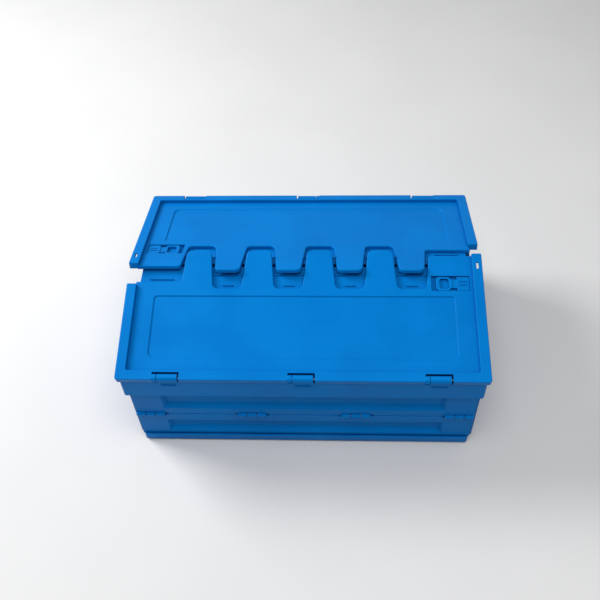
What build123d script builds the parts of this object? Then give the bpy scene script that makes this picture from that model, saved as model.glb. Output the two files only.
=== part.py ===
"""Collapsible storage crate with two interlocking lid leaves.

Frame: millimetres, +Z up, X along the crate, front long wall at -Y.
The origin is the centre of the base tray's underside.
The walls stand up and the lid leaves lean on each other as a low ridge.
"""

from build123d import *
import os

# ---------------------------------------------------------------- overall size
LENGTH = 600.0  # over the lid leaves
WIDTH = 426.0  # over both closed lid leaves
HEIGHT = 207.0  # floor to the rim of the closed lid
LID_AJAR = 13.5  # degrees that each leaf is raised at rest

# ---------------------------------------------------------------- hinge lines
BASE_HINGE_Z = 11.0
TOP_HINGE_Z = 155.0
MIDDLE_HINGE_Z = (BASE_HINGE_Z + TOP_HINGE_Z) / 2
WALL_HINGE_Y = 197.0  # foot and top hinge lines
MIDDLE_HINGE_Y = 202.0  # middle hinge line, outboard, so the wall locks over centre
WALL_HINGE_X = [-263.5, -88.5, 88.5, 263.5]
HINGE_GROUP = 50.0  # length of one group of knuckles
KNUCKLE_R = 4.5
KNUCKLE_GAP = 0.6
KNUCKLE_BEVEL = 1.3
FOOT_TAB = 14.3  # half length of the wall's own knuckle at its foot and top
MIDDLE_TAB = 8.0  # half length of the lower wall's knuckle in the middle
PIN_R = 1.8
BORE_R = 1.88
ACCESS_R = 3.2  # groove beside a middle hinge, through which its pin goes in

LID_HINGE_X = [-218.0, 0.0, 218.0]
LID_HINGE_Y = WIDTH / 2 - 5.5
LID_HINGE_Z = HEIGHT - 6.0
LID_KNUCKLE_R = 6.5
LID_BARREL = (-14.2, 19.2)  # the frame's barrel, from the middle of its notch
LID_BARREL_BEVEL = 0.6

END_HINGE_X = 288.4
END_HINGE_Z = 173.0
END_HINGE_Y = [-120.0, 0.0, 120.0]
END_KNUCKLE_R = 3.8
END_PIN_R = 1.6
END_BORE_R = 1.68

# ---------------------------------------------------------------- long walls
WALL_LENGTH = 577.0
WALL_OUT = 201.7  # outer face
WALL_IN = 192.5  # inner face
WALL_EDGE = 5.3  # hinge line to the panel's edge, foot and top
MIDDLE_EDGE = 0.4  # hinge line to the panel's edge, middle
RECESS_DEPTH = 7.0
RECESS_HALF = 238.5
RECESS_END_SLOPE = 7.0
RECESS_FOOT_SLOPE = 10.5  # the lower side of a recess slopes the most
RECESS_TOP_SLOPE = 3.0
LOWER_RECESS = (26.0, 62.5)
UPPER_RECESS = (100.0, 144.0)
PANEL_ROUND = 0.8

# ---------------------------------------------------------------- base tray
BASE_LENGTH = 573.0
BASE_WIDTH = 412.0
LIP_TOP = 19.5
LIP_T = 2.8
FLOOR_T = 4.0
END_RIM_TOP = 5.5
BASE_BEVEL = 4.5
FLOOR_RELIEF = 1.6  # depth of the cells below the floor and height of the beads on it

# ---------------------------------------------------------------- top frame
FRAME_LENGTH = 591.0
FRAME_WIDTH = 419.0
SKIRT_T = 2.6
SKIRT_BOTTOM = 151.0
DECK_TOP = 192.0
DECK_T = 3.0
MOUTH_LENGTH = 562.0
MOUTH_WIDTH = 2 * WALL_IN
LINER_T = 2.5
LINER_DEPTH = 13.0
RAIL_RIB_PITCH = 35.0
RAIL_RIB_HALF = 1.2
END_LUGS = (13.0, 21.0)  # each side of an end hinge's middle
GUSSET_HALF = 2.2
LEDGE_DROP = 9.0
LEDGE_T = 1.4
LEDGE_OUT = 1.6

# ---------------------------------------------------------------- end panels
END_OUT = 292.6
END_IN = 289.2
END_RIB_OUT = 294.6
END_WIDTH = 382.0
END_BOTTOM = 7.0
END_TOP = END_HINGE_Z - 6.5
END_RIB_TOP = 149.5
END_RIB_W = 6.0
END_TAB = 12.4
HAND_HOLE = (104.0, 30.0)
HAND_HOLE_Z = 121.0
HAND_FRAME = (62.0, 26.0)  # half sizes of the raised field around the hand hole

# ---------------------------------------------------------------- lid leaves
RIM_W = 16.8
RIM_DEPTH = 12.0
RIM_WALL = 2.6
RIM_ROUND = 1.6
RIM_LAP = 3.0  # the field runs on under the rim by this much
FIELD_ROUND = 2.2
FIELD_TOP = HEIGHT - 7.0  # top of the sunken field and the fingers
FIELD_T = 3.4
FINGER_BOTTOM = FIELD_TOP - 7.0
TRAY_TOP = FINGER_BOTTOM - 0.4  # shelf that the other leaf's fingers lie on
TRAY_BOTTOM = TRAY_TOP - 2.4
FINGER_PITCH = 104.0
FINGER_X = [-182.0, -78.0, 26.0, 130.0]
FINGER_HALF = 23.85  # half width on the crate's middle line
FINGER_SLOPE = 0.1
FINGER_TIP = 242.0  # distances from the leaf's hinge edge
FINGER_ROOT = 168.0
MIDLINE = WIDTH / 2
TAB_TIP = 231.0
TAB_LEFT = 210.15
LONG_RIM_END = 232.0
SHORT_RIM_END = 173.5
END_ROOT = 180.5
TRAY_END = 212.5
TRAY_X = (-279.0, 212.0)
PANEL_X = 251.0
PANEL_V = (40.6, 152.2)
PANEL_SINK = 1.8
NOTCH_W = 43.5
NOTCH_DEPTH = 13.5
LOCK_X = (214.0, 278.0)
LOCK_V = (164.0, 192.0)
LOCK_SINK = 6.0
SEAL_SLOT_X = (290.0, 294.0)
SEAL_SLOT_V = (202.5, 214.0)
BEAD_T = 2.0
BEAD_V = (195.5, 197.5)
BEAD_GAP = 1.0  # room around the other leaf's beads in the finger walls
ROOT_RIB_V = (175.5, 177.5)
END_RIB_V = (187.0, 188.8)
LOCK_T = 4.5


def save(part, name):
    """Label one finished piece and write it."""
    part.label = name
    export_step(part, f"parts/{name}.step")


def block(x, y, z, mode=Mode.ADD):
    """Add a box given by its low and high limits on each axis."""
    centre = [(low + high) / 2 for low, high in (x, y, z)]
    with Locations(tuple(centre)):
        Box(abs(x[1] - x[0]), abs(y[1] - y[0]), abs(z[1] - z[0]), mode=mode)


def bar_x(x, y, z, radius, mode=Mode.ADD):
    """Add a round bar along X between two x limits."""
    with Locations(((x[0] + x[1]) / 2, y, z)):
        Cylinder(radius, abs(x[1] - x[0]), rotation=(0, 90, 0), mode=mode)


def bar_y(x, y, z, radius, mode=Mode.ADD):
    """Add a round bar along Y between two y limits."""
    with Locations((x, (y[0] + y[1]) / 2, z)):
        Cylinder(radius, abs(y[1] - y[0]), rotation=(90, 0, 0), mode=mode)


def outer_spans(centre, inner_half):
    """The two outer knuckle spans of a hinge group."""
    half = HINGE_GROUP / 2
    return (centre - half, centre - inner_half), (centre + inner_half, centre + half)


def knuckle(span, y, z, radius, bevel):
    """Add a round hinge knuckle along X, with bevelled ends."""
    low, high = span
    bar_x((low + bevel, high - bevel), y, z, radius)
    for middle, turn in ((low + bevel / 2, -90), (high - bevel / 2, 90)):
        with Locations((middle, y, z)):
            Cone(radius, radius - bevel, bevel, rotation=(0, turn, 0))


# ================================================================= base tray
with BuildPart() as base_tray:
    with BuildSketch():
        RectangleRounded(BASE_LENGTH, BASE_WIDTH, 5)
    extrude(amount=LIP_TOP)
    fillet(base_tray.faces().sort_by(Axis.Z)[-1].edges(), PANEL_ROUND)
    chamfer(base_tray.faces().sort_by(Axis.Z)[0].edges(), BASE_BEVEL)
    with BuildSketch(Plane.XY.offset(FLOOR_T)):
        Rectangle(BASE_LENGTH - 2 * LIP_T, BASE_WIDTH - 2 * LIP_T)
    extrude(amount=LIP_TOP, mode=Mode.SUBTRACT)
    # The end rims stay low: the folded walls and the swinging end panels pass over them.
    lip_inside = (-BASE_WIDTH / 2 + LIP_T, BASE_WIDTH / 2 - LIP_T)
    block((-LENGTH, LENGTH), lip_inside, (END_RIM_TOP, HEIGHT), Mode.SUBTRACT)
    # Shallow cells under the floor leave a grid of ribs to stand on.
    with BuildSketch():
        with GridLocations(78, 92, 7, 4):
            RectangleRounded(70, 84, 6)
    extrude(amount=FLOOR_RELIEF, mode=Mode.SUBTRACT)
    # Low beads stiffen the floor's upper side.
    with BuildSketch(Plane.XY.offset(FLOOR_T)):
        with GridLocations(0, 92, 1, 3):
            SlotOverall(500, 8)
    extrude(amount=FLOOR_RELIEF)
    for side in (-1, 1):
        y_lug = (side * (WALL_HINGE_Y - KNUCKLE_R), side * (WALL_HINGE_Y + KNUCKLE_R))
        for centre in WALL_HINGE_X:
            for span in outer_spans(centre, FOOT_TAB + KNUCKLE_GAP):
                inside = (max(span[0], -BASE_LENGTH / 2 + 1), min(span[1], BASE_LENGTH / 2 - 1))
                block(inside, y_lug, (FLOOR_T - 1, BASE_HINGE_Z))
                bar_x(inside, side * WALL_HINGE_Y, BASE_HINGE_Z, KNUCKLE_R)
        for centre in WALL_HINGE_X:
            bore = (centre - HINGE_GROUP / 2 - 2, centre + HINGE_GROUP / 2 + 2)
            bar_x(bore, side * WALL_HINGE_Y, BASE_HINGE_Z, BORE_R, Mode.SUBTRACT)
save(base_tray.part, "base_tray")


# ================================================================= long walls
def wall_panel(low, high, hinge_z, recess, knuckles, notches):
    """One half of the front wall.

    low and high are the panel's edges, hinge_z the foot or top hinge line that its tabs reach,
    recess the low and high edge of the stiffening recess, knuckles and notches the spans
    on the middle hinge line that this half owns and clears.
    """
    half = WALL_LENGTH / 2
    floor = (recess[0] + RECESS_FOOT_SLOPE, recess[1] - RECESS_TOP_SLOPE)
    with BuildPart() as panel:
        block((-half, half), (-WALL_OUT, -WALL_IN), (low, high))
        # The recess has sloping sides, with the flattest slope along its lower edge.
        with BuildSketch(Plane.XZ.offset(WALL_OUT)):
            with Locations((0, sum(recess) / 2)):
                Rectangle(2 * RECESS_HALF, recess[1] - recess[0])
        with BuildSketch(Plane.XZ.offset(WALL_OUT - RECESS_DEPTH)):
            with Locations((0, sum(floor) / 2)):
                Rectangle(2 * (RECESS_HALF - RECESS_END_SLOPE), floor[1] - floor[0])
        loft(mode=Mode.SUBTRACT)
        fillet(panel.faces().sort_by(Axis.Y)[0].edges(), PANEL_ROUND)
        tab_y = (-WALL_HINGE_Y - KNUCKLE_R, -WALL_HINGE_Y + KNUCKLE_R)
        edge = low if hinge_z < low else high
        for centre in WALL_HINGE_X:
            tab = (centre - FOOT_TAB, centre + FOOT_TAB)
            block(tab, tab_y, (min(hinge_z, edge - 1), max(hinge_z, edge + 1)))
            bar_x(tab, -WALL_HINGE_Y, hinge_z, KNUCKLE_R)
            bore = (centre - FOOT_TAB - 6, centre + FOOT_TAB + 6)
            bar_x(bore, -WALL_HINGE_Y, hinge_z, BORE_R, Mode.SUBTRACT)
            for span in notches(centre):
                bar_x(span, -MIDDLE_HINGE_Y, MIDDLE_HINGE_Z, KNUCKLE_R + 0.5, Mode.SUBTRACT)
            for span in knuckles(centre):
                knuckle(span, -MIDDLE_HINGE_Y, MIDDLE_HINGE_Z, KNUCKLE_R, KNUCKLE_BEVEL)
            # Pin bore, running on into a short access groove at the right of the group.
            end = centre + HINGE_GROUP / 2
            bore = (centre - HINGE_GROUP / 2 - 5, end + 1)
            bar_x(bore, -MIDDLE_HINGE_Y, MIDDLE_HINGE_Z, BORE_R, Mode.SUBTRACT)
            bar_x((end, end + 6), -MIDDLE_HINGE_Y, MIDDLE_HINGE_Z, ACCESS_R, Mode.SUBTRACT)
    return panel.part


def lower_knuckles(centre):
    return [(centre - MIDDLE_TAB, centre + MIDDLE_TAB)]


def lower_notches(centre):
    half = HINGE_GROUP / 2
    return [(centre - half - 1, centre - MIDDLE_TAB), (centre + MIDDLE_TAB, centre + half + 1)]


def upper_knuckles(centre):
    return list(outer_spans(centre, MIDDLE_TAB + KNUCKLE_GAP))


def upper_notches(centre):
    return [(centre - MIDDLE_TAB - KNUCKLE_GAP, centre + MIDDLE_TAB + KNUCKLE_GAP)]


lower_edges = (BASE_HINGE_Z + WALL_EDGE, MIDDLE_HINGE_Z - MIDDLE_EDGE)
upper_edges = (MIDDLE_HINGE_Z + MIDDLE_EDGE, TOP_HINGE_Z - WALL_EDGE)
lower_wall = wall_panel(*lower_edges, BASE_HINGE_Z, LOWER_RECESS, lower_knuckles, lower_notches)
upper_wall = wall_panel(*upper_edges, TOP_HINGE_Z, UPPER_RECESS, upper_knuckles, upper_notches)
save(lower_wall, "front_lower_wall")
save(upper_wall, "front_upper_wall")
save(lower_wall.rotate(Axis.Z, 180), "rear_lower_wall")
save(upper_wall.rotate(Axis.Z, 180), "rear_upper_wall")

# ================================================================= top frame
with BuildPart() as top_frame:
    with BuildSketch(Plane.XY.offset(SKIRT_BOTTOM)):
        RectangleRounded(FRAME_LENGTH, FRAME_WIDTH, 5)
    extrude(amount=DECK_TOP - SKIRT_BOTTOM)
    fillet(top_frame.faces().sort_by(Axis.Z)[0].edges(), PANEL_ROUND)
    fillet(top_frame.faces().sort_by(Axis.Z)[-1].edges(), 2 * PANEL_ROUND)
    with BuildSketch(Plane.XY.offset(SKIRT_BOTTOM)):
        RectangleRounded(FRAME_LENGTH - 2 * SKIRT_T, FRAME_WIDTH - 2 * SKIRT_T, 3)
    extrude(amount=DECK_TOP - DECK_T - SKIRT_BOTTOM, mode=Mode.SUBTRACT)
    with BuildSketch(Plane.XY.offset(DECK_TOP - 2 * DECK_T)):
        RectangleRounded(MOUTH_LENGTH, MOUTH_WIDTH, 4)
    extrude(amount=3 * DECK_T, mode=Mode.SUBTRACT)
    for side in (-1, 1):
        # Long rail: inner web, cross ribs and the lugs that carry the upper wall.
        web = (side * WALL_IN, side * (WALL_IN + LINER_T))
        web_bottom = TOP_HINGE_Z + WALL_EDGE
        web_x = (-MOUTH_LENGTH / 2 - LINER_T, MOUTH_LENGTH / 2 + LINER_T)
        block(web_x, web, (web_bottom, DECK_TOP - 1))
        rib_y = (side * (WALL_IN + LINER_T - 1), side * (FRAME_WIDTH / 2 - SKIRT_T + 1))
        for step in range(-7, 8):
            middle = step * RAIL_RIB_PITCH
            block((middle - RAIL_RIB_HALF, middle + RAIL_RIB_HALF), rib_y, (web_bottom + 8, DECK_TOP - 1))
        lug_y = (side * (WALL_HINGE_Y - KNUCKLE_R), side * (WALL_HINGE_Y + KNUCKLE_R))
        for centre in WALL_HINGE_X:
            for span in outer_spans(centre, FOOT_TAB + KNUCKLE_GAP):
                block(span, lug_y, (TOP_HINGE_Z, DECK_TOP - 1))
                bar_x(span, side * WALL_HINGE_Y, TOP_HINGE_Z, KNUCKLE_R)
        for centre in WALL_HINGE_X:
            bore = (centre - HINGE_GROUP / 2 - 2, centre + HINGE_GROUP / 2 + 2)
            bar_x(bore, side * WALL_HINGE_Y, TOP_HINGE_Z, BORE_R, Mode.SUBTRACT)
        # End rail: inner liner and the lugs that carry the end panel.
        liner = (side * MOUTH_LENGTH / 2, side * (MOUTH_LENGTH / 2 + LINER_T))
        block(liner, (-WALL_IN - 1, WALL_IN + 1), (DECK_TOP - LINER_DEPTH, DECK_TOP - 1))
        lug_x = (side * (END_HINGE_X - END_KNUCKLE_R), side * (END_HINGE_X + END_KNUCKLE_R))
        inner, outer = END_LUGS
        for centre in END_HINGE_Y:
            for span in ((centre - outer, centre - inner), (centre + inner, centre + outer)):
                block(lug_x, span, (END_HINGE_Z, DECK_TOP - 1))
                bar_y(side * END_HINGE_X, span, END_HINGE_Z, END_KNUCKLE_R)
            bore = (centre - outer - 2, centre + outer + 2)
            bar_y(side * END_HINGE_X, bore, END_HINGE_Z, END_BORE_R, Mode.SUBTRACT)
        # Lid hinge barrels stand on the rail's outer edge, with a gusset and a small ledge below.
        y_hinge = side * LID_HINGE_Y
        gusset_y = (y_hinge - GUSSET_HALF, y_hinge + GUSSET_HALF)
        ledge_y = (side * (FRAME_WIDTH / 2 - 1), side * (FRAME_WIDTH / 2 + LEDGE_OUT))
        ledge_z = (DECK_TOP - LEDGE_DROP, DECK_TOP - LEDGE_DROP + LEDGE_T)
        for centre in LID_HINGE_X:
            span = sorted(centre - side * edge for edge in LID_BARREL)
            block(span, gusset_y, (DECK_TOP - LINER_DEPTH, LID_HINGE_Z))
            block((span[0] + 4, span[1] - 4), ledge_y, ledge_z)
            knuckle(span, y_hinge, LID_HINGE_Z, LID_KNUCKLE_R, LID_BARREL_BEVEL)
            bore = (centre - NOTCH_W / 2, centre + NOTCH_W / 2)
            bar_x(bore, y_hinge, LID_HINGE_Z, BORE_R, Mode.SUBTRACT)
save(top_frame.part, "top_frame")


# ================================================================= end panels
with BuildPart() as left_end:
    half = END_WIDTH / 2
    block((-END_OUT, -END_IN), (-half, half), (END_BOTTOM, END_TOP))
    # Raised border and uprights on the outer side.
    rib_x = (-END_RIB_OUT, -END_OUT + 1)
    for low in (END_BOTTOM, END_RIB_TOP - END_RIB_W):
        block(rib_x, (-half, half), (low, low + END_RIB_W))
    hand_y, hand_z = HAND_FRAME
    for step in range(-3, 4):
        centre = step * (END_WIDTH - END_RIB_W) / 6
        top = HAND_HOLE_Z - hand_z if step == 0 else END_RIB_TOP
        block(rib_x, (centre - END_RIB_W / 2, centre + END_RIB_W / 2), (END_BOTTOM, top))
    block(rib_x, (-hand_y, hand_y), (HAND_HOLE_Z - hand_z, HAND_HOLE_Z + hand_z))
    with BuildSketch(Plane.YZ.offset(-END_RIB_OUT - 1)):
        with Locations((0, HAND_HOLE_Z)):
            SlotOverall(*HAND_HOLE)
    extrude(amount=8, mode=Mode.SUBTRACT)
    for centre in END_HINGE_Y:
        tab = (centre - END_TAB, centre + END_TAB)
        block((-END_HINGE_X - END_KNUCKLE_R, -END_HINGE_X + 1), tab, (END_TOP - 4, END_HINGE_Z))
        bar_y(-END_HINGE_X, tab, END_HINGE_Z, END_KNUCKLE_R)
        bore = (centre - END_TAB - 1, centre + END_TAB + 1)
        bar_y(-END_HINGE_X, bore, END_HINGE_Z, END_BORE_R, Mode.SUBTRACT)
save(left_end.part, "left_end_panel")
save(left_end.part.rotate(Axis.Z, 180), "right_end_panel")


# ================================================================= lid leaves
def v(distance):
    """The y of a point at a distance from the front leaf's hinge edge, with the leaf closed."""
    return distance - WIDTH / 2


def finger_half(distance, inset=0.0):
    """Half width of a finger at a distance from the hinge edge."""
    return FINGER_HALF - FINGER_SLOPE * (distance - MIDLINE) - inset


def leaf_outline():
    """Corner points of the field with its fingers, tab and end recess."""
    edge = LENGTH / 2 - RIM_W + RIM_LAP
    points = [(-edge, v(RIM_W - RIM_LAP)), (edge, v(RIM_W - RIM_LAP)), (edge, v(TAB_TIP))]
    points.append((TAB_LEFT + FINGER_SLOPE * (TAB_TIP - MIDLINE), v(TAB_TIP)))
    points.append((TAB_LEFT + FINGER_SLOPE * (FINGER_ROOT - MIDLINE), v(FINGER_ROOT)))
    for centre in reversed(FINGER_X):
        root, tip = finger_half(FINGER_ROOT), finger_half(FINGER_TIP)
        points += [(centre + root, v(FINGER_ROOT)), (centre + tip, v(FINGER_TIP))]
        points += [(centre - tip, v(FINGER_TIP))]
        if centre != FINGER_X[0]:
            points += [(centre - root, v(FINGER_ROOT))]
    points += [(FINGER_X[0] - finger_half(END_ROOT), v(END_ROOT)), (-edge, v(END_ROOT))]
    return points


def corners_at(sketch, distance):
    """A sketch's corners at a distance from the hinge edge, from left to right."""
    return sketch.vertices().filter_by_position(Axis.Y, v(distance) - 1, v(distance) + 1).sort_by(Axis.X)


with BuildPart() as leaf:
    with BuildSketch(Plane.XY.offset(FINGER_BOTTOM)) as outline:
        with BuildLine():
            Polyline(*leaf_outline(), close=True)
        make_face()
        fillet(corners_at(outline, FINGER_TIP), 10)
        fillet(corners_at(outline, FINGER_ROOT), 9)
        fillet(corners_at(outline, END_ROOT)[-1], 6)
        fillet(corners_at(outline, TAB_TIP)[0], 6)
    extrude(amount=FIELD_TOP - FINGER_BOTTOM)
    fillet(leaf.faces().sort_by(Axis.Z)[-1].edges(), FIELD_ROUND)
    # Finger sides reach down beside the trays, and the tray floors join them.
    with BuildSketch(Plane.XY.offset(TRAY_BOTTOM)):
        add(outline.sketch.moved(Location((0, 0, TRAY_BOTTOM - FINGER_BOTTOM))))
        with Locations((sum(TRAY_X) / 2, v((150 + TRAY_END) / 2))):
            Rectangle(TRAY_X[1] - TRAY_X[0], TRAY_END - 150, mode=Mode.INTERSECT)
    extrude(amount=FINGER_BOTTOM + 1 - TRAY_BOTTOM)
    block(TRAY_X, (v(FINGER_ROOT - 6), v(TRAY_END)), (TRAY_BOTTOM, TRAY_TOP))
    # Raised rim on three sides.
    with BuildSketch(Plane.XY.offset(HEIGHT - RIM_DEPTH)) as rim:
        half, inner = LENGTH / 2, LENGTH / 2 - RIM_W
        with BuildLine():
            Polyline(
                (-half, v(SHORT_RIM_END)),
                (-half, v(0)),
                (half, v(0)),
                (half, v(LONG_RIM_END)),
                (inner, v(LONG_RIM_END)),
                (inner, v(RIM_W)),
                (-inner, v(RIM_W)),
                (-inner, v(SHORT_RIM_END)),
                close=True,
            )
        make_face()
        fillet(corners_at(rim, 0), 5)
        fillet(corners_at(rim, RIM_W), 4)
        fillet(corners_at(rim, SHORT_RIM_END), 2)
        fillet(corners_at(rim, LONG_RIM_END), 2)
    extrude(amount=RIM_DEPTH)
    fillet(leaf.faces().sort_by(Axis.Z)[-1].edges(), RIM_ROUND)
    # Hollow underside: field, fingers, tab and rim channels.
    hollow = (TRAY_BOTTOM - 1, FIELD_TOP - FIELD_T)
    ribs = [-281.5, -214, -143, -72, 0, 72, 143, 209, 281.5]
    for left, right in zip(ribs, ribs[1:]):
        for bottom, top in ((19, 88), (90.5, FINGER_ROOT - 14)):
            block((left + 1.2, right - 1.2), (v(bottom), v(top)), hollow, Mode.SUBTRACT)
    block((TRAY_X[0], -212), (v(FINGER_ROOT - 11), v(END_ROOT - 3.5)), hollow, Mode.SUBTRACT)
    with BuildSketch(Plane.XY.offset(hollow[0])):
        for centre in FINGER_X:
            low, high = FINGER_ROOT - 11, FINGER_TIP - RIM_WALL
            with BuildLine():
                Polyline(
                    (centre - finger_half(low, 3.4), v(low)),
                    (centre + finger_half(low, 3.4), v(low)),
                    (centre + finger_half(high, 6), v(high)),
                    (centre - finger_half(high, 6), v(high)),
                    close=True,
                )
            make_face()
    extrude(amount=hollow[1] - hollow[0], mode=Mode.SUBTRACT)
    block((216, 281), (v(LOCK_V[1] + 5), v(TAB_TIP - 3.4)), hollow, Mode.SUBTRACT)
    # The finger walls step over the beads in the other leaf's trays.
    over_bead = (v(2 * MIDLINE - BEAD_V[1] - BEAD_GAP), v(2 * MIDLINE - BEAD_V[0] + BEAD_GAP))
    for centre in FINGER_X:
        across = (centre - FINGER_HALF, centre + FINGER_HALF)
        block(across, over_bead, (FINGER_BOTTOM - 1, TRAY_TOP + BEAD_T + 0.5), Mode.SUBTRACT)
    channel = (HEIGHT - RIM_DEPTH - 1, HEIGHT - RIM_WALL)
    side_channel = (LENGTH / 2 - RIM_W + RIM_WALL, LENGTH / 2 - RIM_WALL)
    other_channel = (-side_channel[1], -side_channel[0])
    block(side_channel, (v(22), v(LONG_RIM_END - RIM_WALL)), channel, Mode.SUBTRACT)
    block(other_channel, (v(22), v(SHORT_RIM_END - RIM_WALL)), channel, Mode.SUBTRACT)
    for span in ((-294, -250), (-186, -32), (32, 186), (250, 294)):
        block(span, (v(RIM_WALL), v(RIM_W - RIM_WALL)), channel, Mode.SUBTRACT)
    # Sunk centre panel with a sloping edge, rounder at the hinge side.
    with BuildSketch(Plane.XY.offset(FIELD_TOP - PANEL_SINK)) as sunk:
        with Locations((0, v(sum(PANEL_V) / 2))):
            Rectangle(2 * PANEL_X, PANEL_V[1] - PANEL_V[0])
        fillet(corners_at(sunk, PANEL_V[0]), 12)
        fillet(corners_at(sunk, PANEL_V[1]), 4)
    extrude(amount=PANEL_SINK + 0.5, taper=-45, mode=Mode.SUBTRACT)
    # Tray details: a bead across each tray and a small rib near its root.
    for left, right in zip(FINGER_X, FINGER_X[1:] + [FINGER_X[-1] + FINGER_PITCH]):
        centre = (left + right) / 2
        half = FINGER_PITCH / 2 - finger_half(BEAD_V[0], -1)
        bar = (TRAY_TOP - 0.5, TRAY_TOP + BEAD_T)
        block((centre - half, centre + half), [v(edge) for edge in BEAD_V], bar)
        block((centre - 9, centre + 9), [v(edge) for edge in ROOT_RIB_V], bar)
    block((-264, -224), [v(edge) for edge in END_RIB_V], (TRAY_TOP - 0.5, TRAY_TOP + BEAD_T))
    # Lock pocket with its floor, and the bolt's way through the rim.
    wall_x = (LOCK_X[0] - RIM_WALL, LOCK_X[1] + 4)
    wall_y = (v(LOCK_V[0] - RIM_WALL), v(LOCK_V[1] + RIM_WALL))
    block(wall_x, wall_y, (TRAY_TOP, FIELD_TOP - FIELD_T + 0.5))
    block(LOCK_X, (v(LOCK_V[0]), v(LOCK_V[1])), (FIELD_TOP - LOCK_SINK, FIELD_TOP + 1), Mode.SUBTRACT)
    lock_y = v(sum(LOCK_V) / 2)
    way = (FIELD_TOP - LOCK_SINK, FIELD_TOP - 1.6)
    block((LOCK_X[1] - 1, 287), (lock_y - 7, lock_y + 7), way, Mode.SUBTRACT)
    # Seal slot through the rim.
    slot_y = [v(edge) for edge in SEAL_SLOT_V]
    block(SEAL_SLOT_X, slot_y, (HEIGHT - 20, HEIGHT + 1), Mode.SUBTRACT)
    # Hinge notches, each with the leaf's own short knuckle, and the pin bores.
    for centre in LID_HINGE_X:
        notch_x = (centre - NOTCH_W / 2, centre + NOTCH_W / 2)
        block(notch_x, (v(-1), v(NOTCH_DEPTH)), (HEIGHT - 30, HEIGHT + 1), Mode.SUBTRACT)
        own = (notch_x[0] - 1, centre + LID_BARREL[0] - KNUCKLE_GAP)
        knuckle(own, -LID_HINGE_Y, LID_HINGE_Z, LID_KNUCKLE_R, LID_BARREL_BEVEL)
        bar_x((centre - 29, centre + 29), -LID_HINGE_Y, LID_HINGE_Z, BORE_R, Mode.SUBTRACT)

lid_axis = Axis((0, -LID_HINGE_Y, LID_HINGE_Z), (1, 0, 0))
front_leaf = leaf.part.rotate(lid_axis, LID_AJAR)
save(front_leaf, "front_lid")
save(front_leaf.rotate(Axis.Z, 180), "rear_lid")

# ================================================================= lid locks
with BuildPart() as lock:
    low = FIELD_TOP - LOCK_SINK + 0.3
    with BuildSketch(Plane.XY.offset(low)):
        with Locations((234.3, lock_y)):
            RectangleRounded(24.6, 26, 6)
        with Locations((235.6, lock_y)):
            RectangleRounded(15.4, 19, 4, mode=Mode.SUBTRACT)
        with Locations((251.5, lock_y)):
            Rectangle(12, 16)
        with Locations((267.2, lock_y)):
            Rectangle(20.6, 26)
    extrude(amount=LOCK_T)
    fillet(lock.faces().sort_by(Axis.Z)[-1].edges(), 0.5)
    # Bolt, thinner than the plate.
    block((272, 285.5), (lock_y - 6, lock_y + 6), (low, low + 3.4))
    # Two grip grooves on the plate, and the step where the neck meets it.
    for offset in (-3, 3):
        groove_y = (lock_y + offset - 1.1, lock_y + offset + 1.1)
        block((261, 273), groove_y, (low + LOCK_T - 1.2, low + LOCK_T + 1), Mode.SUBTRACT)
    block((249, 256), (lock_y - 9, lock_y + 9), (low + LOCK_T - 1, low + LOCK_T + 1), Mode.SUBTRACT)
front_lock = lock.part.rotate(lid_axis, LID_AJAR)
save(front_lock, "front_lid_lock")
save(front_lock.rotate(Axis.Z, 180), "rear_lid_lock")


# ================================================================= hinge pins
def pins_x(centres, y, z, half, radius):
    """A row of pins along X."""
    with BuildPart() as pins:
        for centre in centres:
            bar_x((centre - half, centre + half), y, z, radius)
    return pins.part


wall_pins = {
    "base": pins_x(WALL_HINGE_X, -WALL_HINGE_Y, BASE_HINGE_Z, 22.5, PIN_R),
    "middle": pins_x(WALL_HINGE_X, -MIDDLE_HINGE_Y, MIDDLE_HINGE_Z, 24.8, PIN_R),
    "top": pins_x(WALL_HINGE_X, -WALL_HINGE_Y, TOP_HINGE_Z, 24.5, PIN_R),
    "lid": pins_x(LID_HINGE_X, -LID_HINGE_Y, LID_HINGE_Z, 28, PIN_R),
}
for name, pins in wall_pins.items():
    save(pins, f"front_{name}_pins")
    save(pins.rotate(Axis.Z, 180), f"rear_{name}_pins")

with BuildPart() as end_pins:
    for centre in END_HINGE_Y:
        bar_y(-END_HINGE_X, (centre - 21, centre + 21), END_HINGE_Z, END_PIN_R)
save(end_pins.part, "left_end_pins")
save(end_pins.part.rotate(Axis.Z, 180), "right_end_pins")
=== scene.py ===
"""Looks for the collapsible storage crate: moulded blue plastic, steel pins, studio and camera."""

import math

import bpy
from mathutils import Matrix, Vector

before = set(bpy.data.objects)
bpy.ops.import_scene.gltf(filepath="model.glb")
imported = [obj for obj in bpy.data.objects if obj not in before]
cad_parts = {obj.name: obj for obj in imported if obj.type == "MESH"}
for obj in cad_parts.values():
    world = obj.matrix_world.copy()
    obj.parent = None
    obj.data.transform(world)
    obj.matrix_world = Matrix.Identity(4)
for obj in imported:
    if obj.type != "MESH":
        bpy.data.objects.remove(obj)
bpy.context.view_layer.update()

MM = 0.001

# ---------------------------------------------------------------- camera
CAMERA_PLACE = Vector((0.0568, -0.9027, 1.2398))
CAMERA_TURN = math.radians(-4.274)  # compass direction it looks in, from +Y towards +X
CAMERA_DOWN = math.radians(50.354)
CAMERA_ROLL = math.radians(-3.097)
CAMERA_LENS = 46.97
SENSOR_WIDTH = 36.0
VIEW_DEPTH = 100.0  # how far the camera sees, in metres

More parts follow.
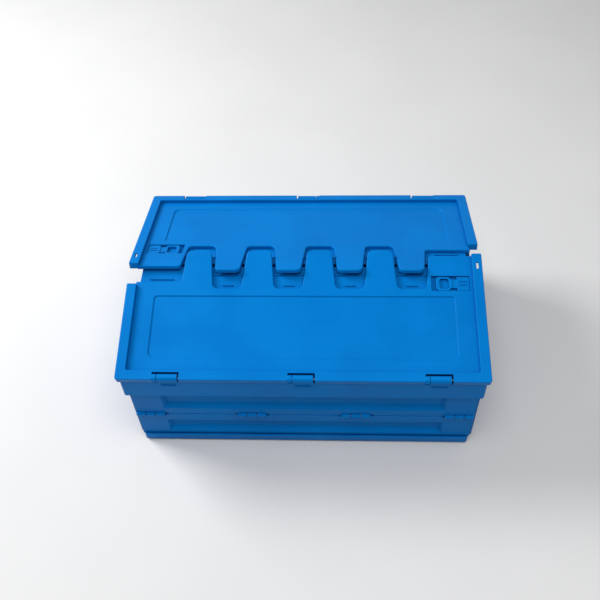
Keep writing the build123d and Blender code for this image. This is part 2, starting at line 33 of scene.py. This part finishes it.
# ---------------------------------------------------------------- colours, linear
BLUE = (0.0, 0.146, 0.46)
DEEP_BLUE = (0.0, 0.128, 0.42)
# darker blue used as painted shade in corners and creases
CREASE_SHADE_BLUE = (0.0, 0.07, 0.30)
WORN_BLUE = (0.012, 0.26, 0.62)
STEEL = (0.26, 0.27, 0.29)
DULL_STEEL = (0.13, 0.13, 0.14)
PALE_FLOOR = (0.60, 0.60, 0.60)
PALE_FLOOR_SHADE = (0.58, 0.58, 0.58)
PLASTIC_SHEEN = (0.12, 0.62, 1.0, 1.0)
SKY = (0.97, 0.98, 1.0, 1.0)

# ---------------------------------------------------------------- plastic
EDGE_RADIUS = 0.9 * MM  # how wide an edge looks rounded
CREASE_SHADE_REACH = 14 * MM  # how far from a corner the painted shade reaches
CREASE_SHADE_STRENGTH = 0.8
SCRATCH_WEAR = 0.12
SCUFF_WEAR = 0.06
SCUFF_ROUGHNESS = 0.1
RUBBED_POLISH = 0.12
PLASTIC_IOR = 1.49
PLASTIC_SPECULAR = 0.14
SINK_DEPTH = 0.35 * MM
GRAIN_DEPTH = 0.05 * MM
SCRATCH_DEPTH = 0.04 * MM

# ---------------------------------------------------------------- lights and floor
FLOOR_HALF = 30.0
PAPER_ROUGHNESS = 0.9
SKY_STRENGTH = 0.34
LIGHTS_AIM = (0.0, 0.0, 0.15)
KEY_PLACE, KEY_SIZE, KEY_WATTS = (-1.9, 0.75, 1.7), (1.1, 1.1), 66
TOP_PLACE, TOP_SIZE, TOP_WATTS = (0.2, -0.8, 2.7), (1.8, 1.4), 48


# ================================================================= node helpers
class Graph:
    """A material's node tree, with short calls for the nodes used here."""

    def __init__(self, name):
        self.material = bpy.data.materials.new(name)
        self.material.use_nodes = True
        self.tree = self.material.node_tree
        self.shader = self.tree.nodes["Principled BSDF"]

    def add(self, kind, settings=None, **inputs):
        """A node with its settings, its inputs given as constants or as other nodes' outputs."""
        made = self.tree.nodes.new(kind)
        for key, value in (settings or {}).items():
            setattr(made, key, value)
        for key, value in inputs.items():
            self.feed(made.inputs[key.replace("_", " ")], value)
        return made

    def feed(self, socket, value):
        if isinstance(value, bpy.types.NodeSocket):
            self.tree.links.new(value, socket)
        elif isinstance(value, tuple) and len(value) == 3 and socket.type == "RGBA":
            socket.default_value = (*value, 1.0)
        else:
            socket.default_value = value

    def place(self, stretch=(1, 1, 1)):
        """Object coordinates, so the pattern stays on a piece when it moves."""
        spot = self.add("ShaderNodeTexCoord").outputs["Object"]
        if stretch == (1, 1, 1):
            return spot
        return self.add("ShaderNodeMapping", Vector=spot, Scale=stretch).outputs["Vector"]

    def noise(self, scale, detail=2.0, roughness=0.5, stretch=(1, 1, 1)):
        """Smooth noise from 0 to 1, with a scale in cycles per metre."""
        spot = self.place(stretch)
        made = self.add("ShaderNodeTexNoise", Vector=spot, Scale=scale, Detail=detail, Roughness=roughness)
        return made.outputs["Fac"]

    def ramp(self, value, low, high, to_low=0.0, to_high=1.0):
        """value from low..high to to_low..to_high, clamped and smooth."""
        settings = {"interpolation_type": "SMOOTHSTEP"}
        made = self.add("ShaderNodeMapRange", settings, Value=value)
        for key, limit in (("From Min", low), ("From Max", high), ("To Min", to_low), ("To Max", to_high)):
            made.inputs[key].default_value = limit
        return made.outputs["Result"]

    def maths(self, operation, a, b):
        made = self.add("ShaderNodeMath", {"operation": operation, "use_clamp": False})
        self.feed(made.inputs[0], a)
        self.feed(made.inputs[1], b)
        return made.outputs[0]

    def mix(self, factor, a, b):
        """Colour a where factor is 0, b where it is 1."""
        made = self.add("ShaderNodeMix", {"data_type": "RGBA"})
        self.feed(made.inputs["Factor"], factor)
        self.feed(made.inputs[6], a)
        self.feed(made.inputs[7], b)
        return made.outputs[2]

    def edges(self, radius):
        """A softened normal, and how far it turns from the true one: 0 on a face, more at an edge."""
        soft = self.add("ShaderNodeBevel", {"samples": 4}, Radius=radius).outputs["Normal"]
        true = self.add("ShaderNodeNewGeometry").outputs["Normal"]
        dot = self.add("ShaderNodeVectorMath", {"operation": "DOT_PRODUCT"})
        self.feed(dot.inputs[0], soft)
        self.feed(dot.inputs[1], true)
        return soft, self.maths("SUBTRACT", 1.0, dot.outputs["Value"])

    def creases(self, reach):
        """1 deep in a corner, 0 on an open face."""
        made = self.add("ShaderNodeAmbientOcclusion", {"samples": 4}, Distance=reach)
        return self.maths("SUBTRACT", 1.0, made.outputs["AO"])

    def bump(self, height, distance, strength, normal=None):
        made = self.add("ShaderNodeBump", Height=height, Distance=distance, Strength=strength)
        if normal is not None:
            self.feed(made.inputs["Normal"], normal)
        return made.outputs["Normal"]


# ================================================================= materials
def plastic(name, roughness, wear):
    """Satin moulded polypropylene: flow marks, fine grain, painted shade in the creases, rubbed edges and
    thin scratches.
    """
    graph = Graph(name)
    shader = graph.shader
    clouds = graph.noise(9.0, detail=3.0, roughness=0.55)
    flow = graph.noise(5.0, detail=2.0, stretch=(1, 5, 1))
    grain = graph.noise(1500.0, detail=2.0, roughness=0.6)
    sink = graph.noise(22.0, detail=1.0)
    scratches = graph.noise(160.0, detail=3.0, roughness=0.7, stretch=(1, 0.05, 1))
    cross_scratches = graph.noise(130.0, detail=3.0, roughness=0.7, stretch=(0.05, 1, 1))
    scuffs = graph.ramp(graph.noise(38.0, detail=5.0, roughness=0.7), 0.62, 0.78)
    soft, edge = graph.edges(EDGE_RADIUS)

    body = graph.mix(graph.ramp(clouds, 0.3, 0.7), DEEP_BLUE, BLUE)
    body = graph.mix(graph.ramp(flow, 0.45, 0.75, 0.0, 0.35), body, BLUE)
    # painted shade: the colour darkens towards corners and creases, where shade falls
    crease_shade = graph.ramp(graph.creases(CREASE_SHADE_REACH), 0.05, 0.75, 0.0, CREASE_SHADE_STRENGTH)
    body = graph.mix(crease_shade, body, CREASE_SHADE_BLUE)
    patchy = graph.ramp(graph.noise(55.0, detail=4.0, roughness=0.65), 0.42, 0.62)
    rubbed = graph.maths("MULTIPLY", graph.ramp(edge, 0.02, 0.3), patchy)
    along, across = graph.ramp(scratches, 0.68, 0.76), graph.ramp(cross_scratches, 0.69, 0.77)
    lines = graph.maths("MAXIMUM", along, across)
    marks = graph.maths("MULTIPLY", lines, graph.ramp(clouds, 0.45, 0.65))
    worn = graph.maths("MULTIPLY", rubbed, wear)
    worn = graph.maths("ADD", worn, graph.maths("MULTIPLY", marks, SCRATCH_WEAR))
    worn = graph.maths("ADD", worn, graph.maths("MULTIPLY", scuffs, SCUFF_WEAR))
    graph.feed(shader.inputs["Base Color"], graph.mix(worn, body, WORN_BLUE))

    rough = graph.ramp(clouds, 0.25, 0.75, roughness - 0.05, roughness + 0.06)
    rough = graph.maths("ADD", rough, graph.maths("MULTIPLY", scuffs, SCUFF_ROUGHNESS))
    rough = graph.maths("SUBTRACT", rough, graph.maths("MULTIPLY", rubbed, RUBBED_POLISH))
    graph.feed(shader.inputs["Roughness"], rough)

    normal = graph.bump(sink, SINK_DEPTH, 0.25, soft)
    normal = graph.bump(grain, GRAIN_DEPTH, 0.3, normal)
    normal = graph.bump(graph.maths("MULTIPLY", lines, -1.0), SCRATCH_DEPTH, 0.3, normal)
    graph.feed(shader.inputs["Normal"], normal)
    shader.inputs["IOR"].default_value = PLASTIC_IOR
    shader.inputs["Specular IOR Level"].default_value = PLASTIC_SPECULAR
    shader.inputs["Specular Tint"].default_value = PLASTIC_SHEEN
    return graph.material


def steel(name):
    """Drawn wire: fine rings of wear and dull patches."""
    graph = Graph(name)
    shader = graph.shader
    patches = graph.noise(90.0, detail=4.0, roughness=0.6)
    drawn = graph.noise(900.0, detail=2.0, stretch=(0.06, 1, 1))
    graph.feed(shader.inputs["Base Color"], graph.mix(graph.ramp(patches, 0.35, 0.65), DULL_STEEL, STEEL))
    graph.feed(shader.inputs["Roughness"], graph.ramp(patches, 0.3, 0.7, 0.52, 0.3))
    graph.feed(shader.inputs["Normal"], graph.bump(drawn, 0.05 * MM, 0.35))
    shader.inputs["Metallic"].default_value = 1.0
    return graph.material


def paper(name):
    """Matt studio paper."""
    graph = Graph(name)
    mottled = graph.ramp(graph.noise(3.0, detail=3.0), 0.3, 0.7)
    graph.feed(graph.shader.inputs["Base Color"], graph.mix(mottled, PALE_FLOOR_SHADE, PALE_FLOOR))
    graph.feed(graph.shader.inputs["Normal"], graph.bump(graph.noise(400.0, detail=3.0), 0.2 * MM, 0.2))
    graph.shader.inputs["Roughness"].default_value = PAPER_ROUGHNESS
    return graph.material


FINISHES = {
    "crate_plastic": plastic("crate_blue", roughness=0.46, wear=0.5),
    "lid_plastic": plastic("lid_blue", roughness=0.43, wear=0.42),
    "lock_plastic": plastic("lock_blue", roughness=0.38, wear=0.6),
    "pin_steel": steel("drawn_steel"),
}


def finish_nodes():
    """Every CAD node takes the finish of its slot."""
    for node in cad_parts.values():
        slot = node.data.materials[0].name
        node.data.materials[0] = FINISHES[slot]


# ================================================================= studio
def floor():
    half = FLOOR_HALF
    mesh = bpy.data.meshes.new("floor")
    corners = [(-half, -half, 0), (half, -half, 0), (half, half, 0), (-half, half, 0)]
    mesh.from_pydata(corners, [], [(0, 1, 2, 3)])
    piece = bpy.data.objects.new("floor", mesh)
    bpy.context.collection.objects.link(piece)
    mesh.materials.append(paper("studio_paper"))


def soft_box(name, place, aim, size, watts):
    """A rectangular area light at place, turned to aim."""
    light = bpy.data.lights.new(name, "AREA")
    light.shape = "RECTANGLE"
    light.size, light.size_y = size
    light.energy = watts
    lamp = bpy.data.objects.new(name, light)
    bpy.context.collection.objects.link(lamp)
    lamp.location = place
    lamp.rotation_euler = (Vector(aim) - Vector(place)).to_track_quat("-Z", "Y").to_euler()


def studio():
    world = bpy.data.worlds.new("studio")
    world.use_nodes = True
    sky = world.node_tree.nodes["Background"]
    sky.inputs["Color"].default_value = SKY
    sky.inputs["Strength"].default_value = SKY_STRENGTH
    bpy.context.scene.world = world
    soft_box("key", KEY_PLACE, LIGHTS_AIM, KEY_SIZE, KEY_WATTS)
    soft_box("top", TOP_PLACE, LIGHTS_AIM, TOP_SIZE, TOP_WATTS)
    bpy.context.scene.view_settings.view_transform = "Standard"


def camera():
    """The viewing angle of a person looking down at the crate's front."""
    turn, down = CAMERA_TURN, CAMERA_DOWN
    forward = Vector((math.sin(turn) * math.cos(down), math.cos(turn) * math.cos(down), -math.sin(down)))
    right = Vector((math.cos(turn), -math.sin(turn), 0.0))
    up = right.cross(forward)
    tilted_right = right * math.cos(CAMERA_ROLL) + up * math.sin(CAMERA_ROLL)
    tilted_up = up * math.cos(CAMERA_ROLL) - right * math.sin(CAMERA_ROLL)
    axes = Matrix((tilted_right, tilted_up, -forward)).transposed()
    lens = bpy.data.cameras.new("camera")
    lens.lens = CAMERA_LENS
    lens.sensor_width = SENSOR_WIDTH
    lens.clip_end = VIEW_DEPTH
    seen_from = bpy.data.objects.new("camera", lens)
    bpy.context.collection.objects.link(seen_from)
    seen_from.matrix_world = Matrix.Translation(CAMERA_PLACE) @ axes.to_4x4()
    bpy.context.scene.camera = seen_from


finish_nodes()
floor()
studio()
camera()
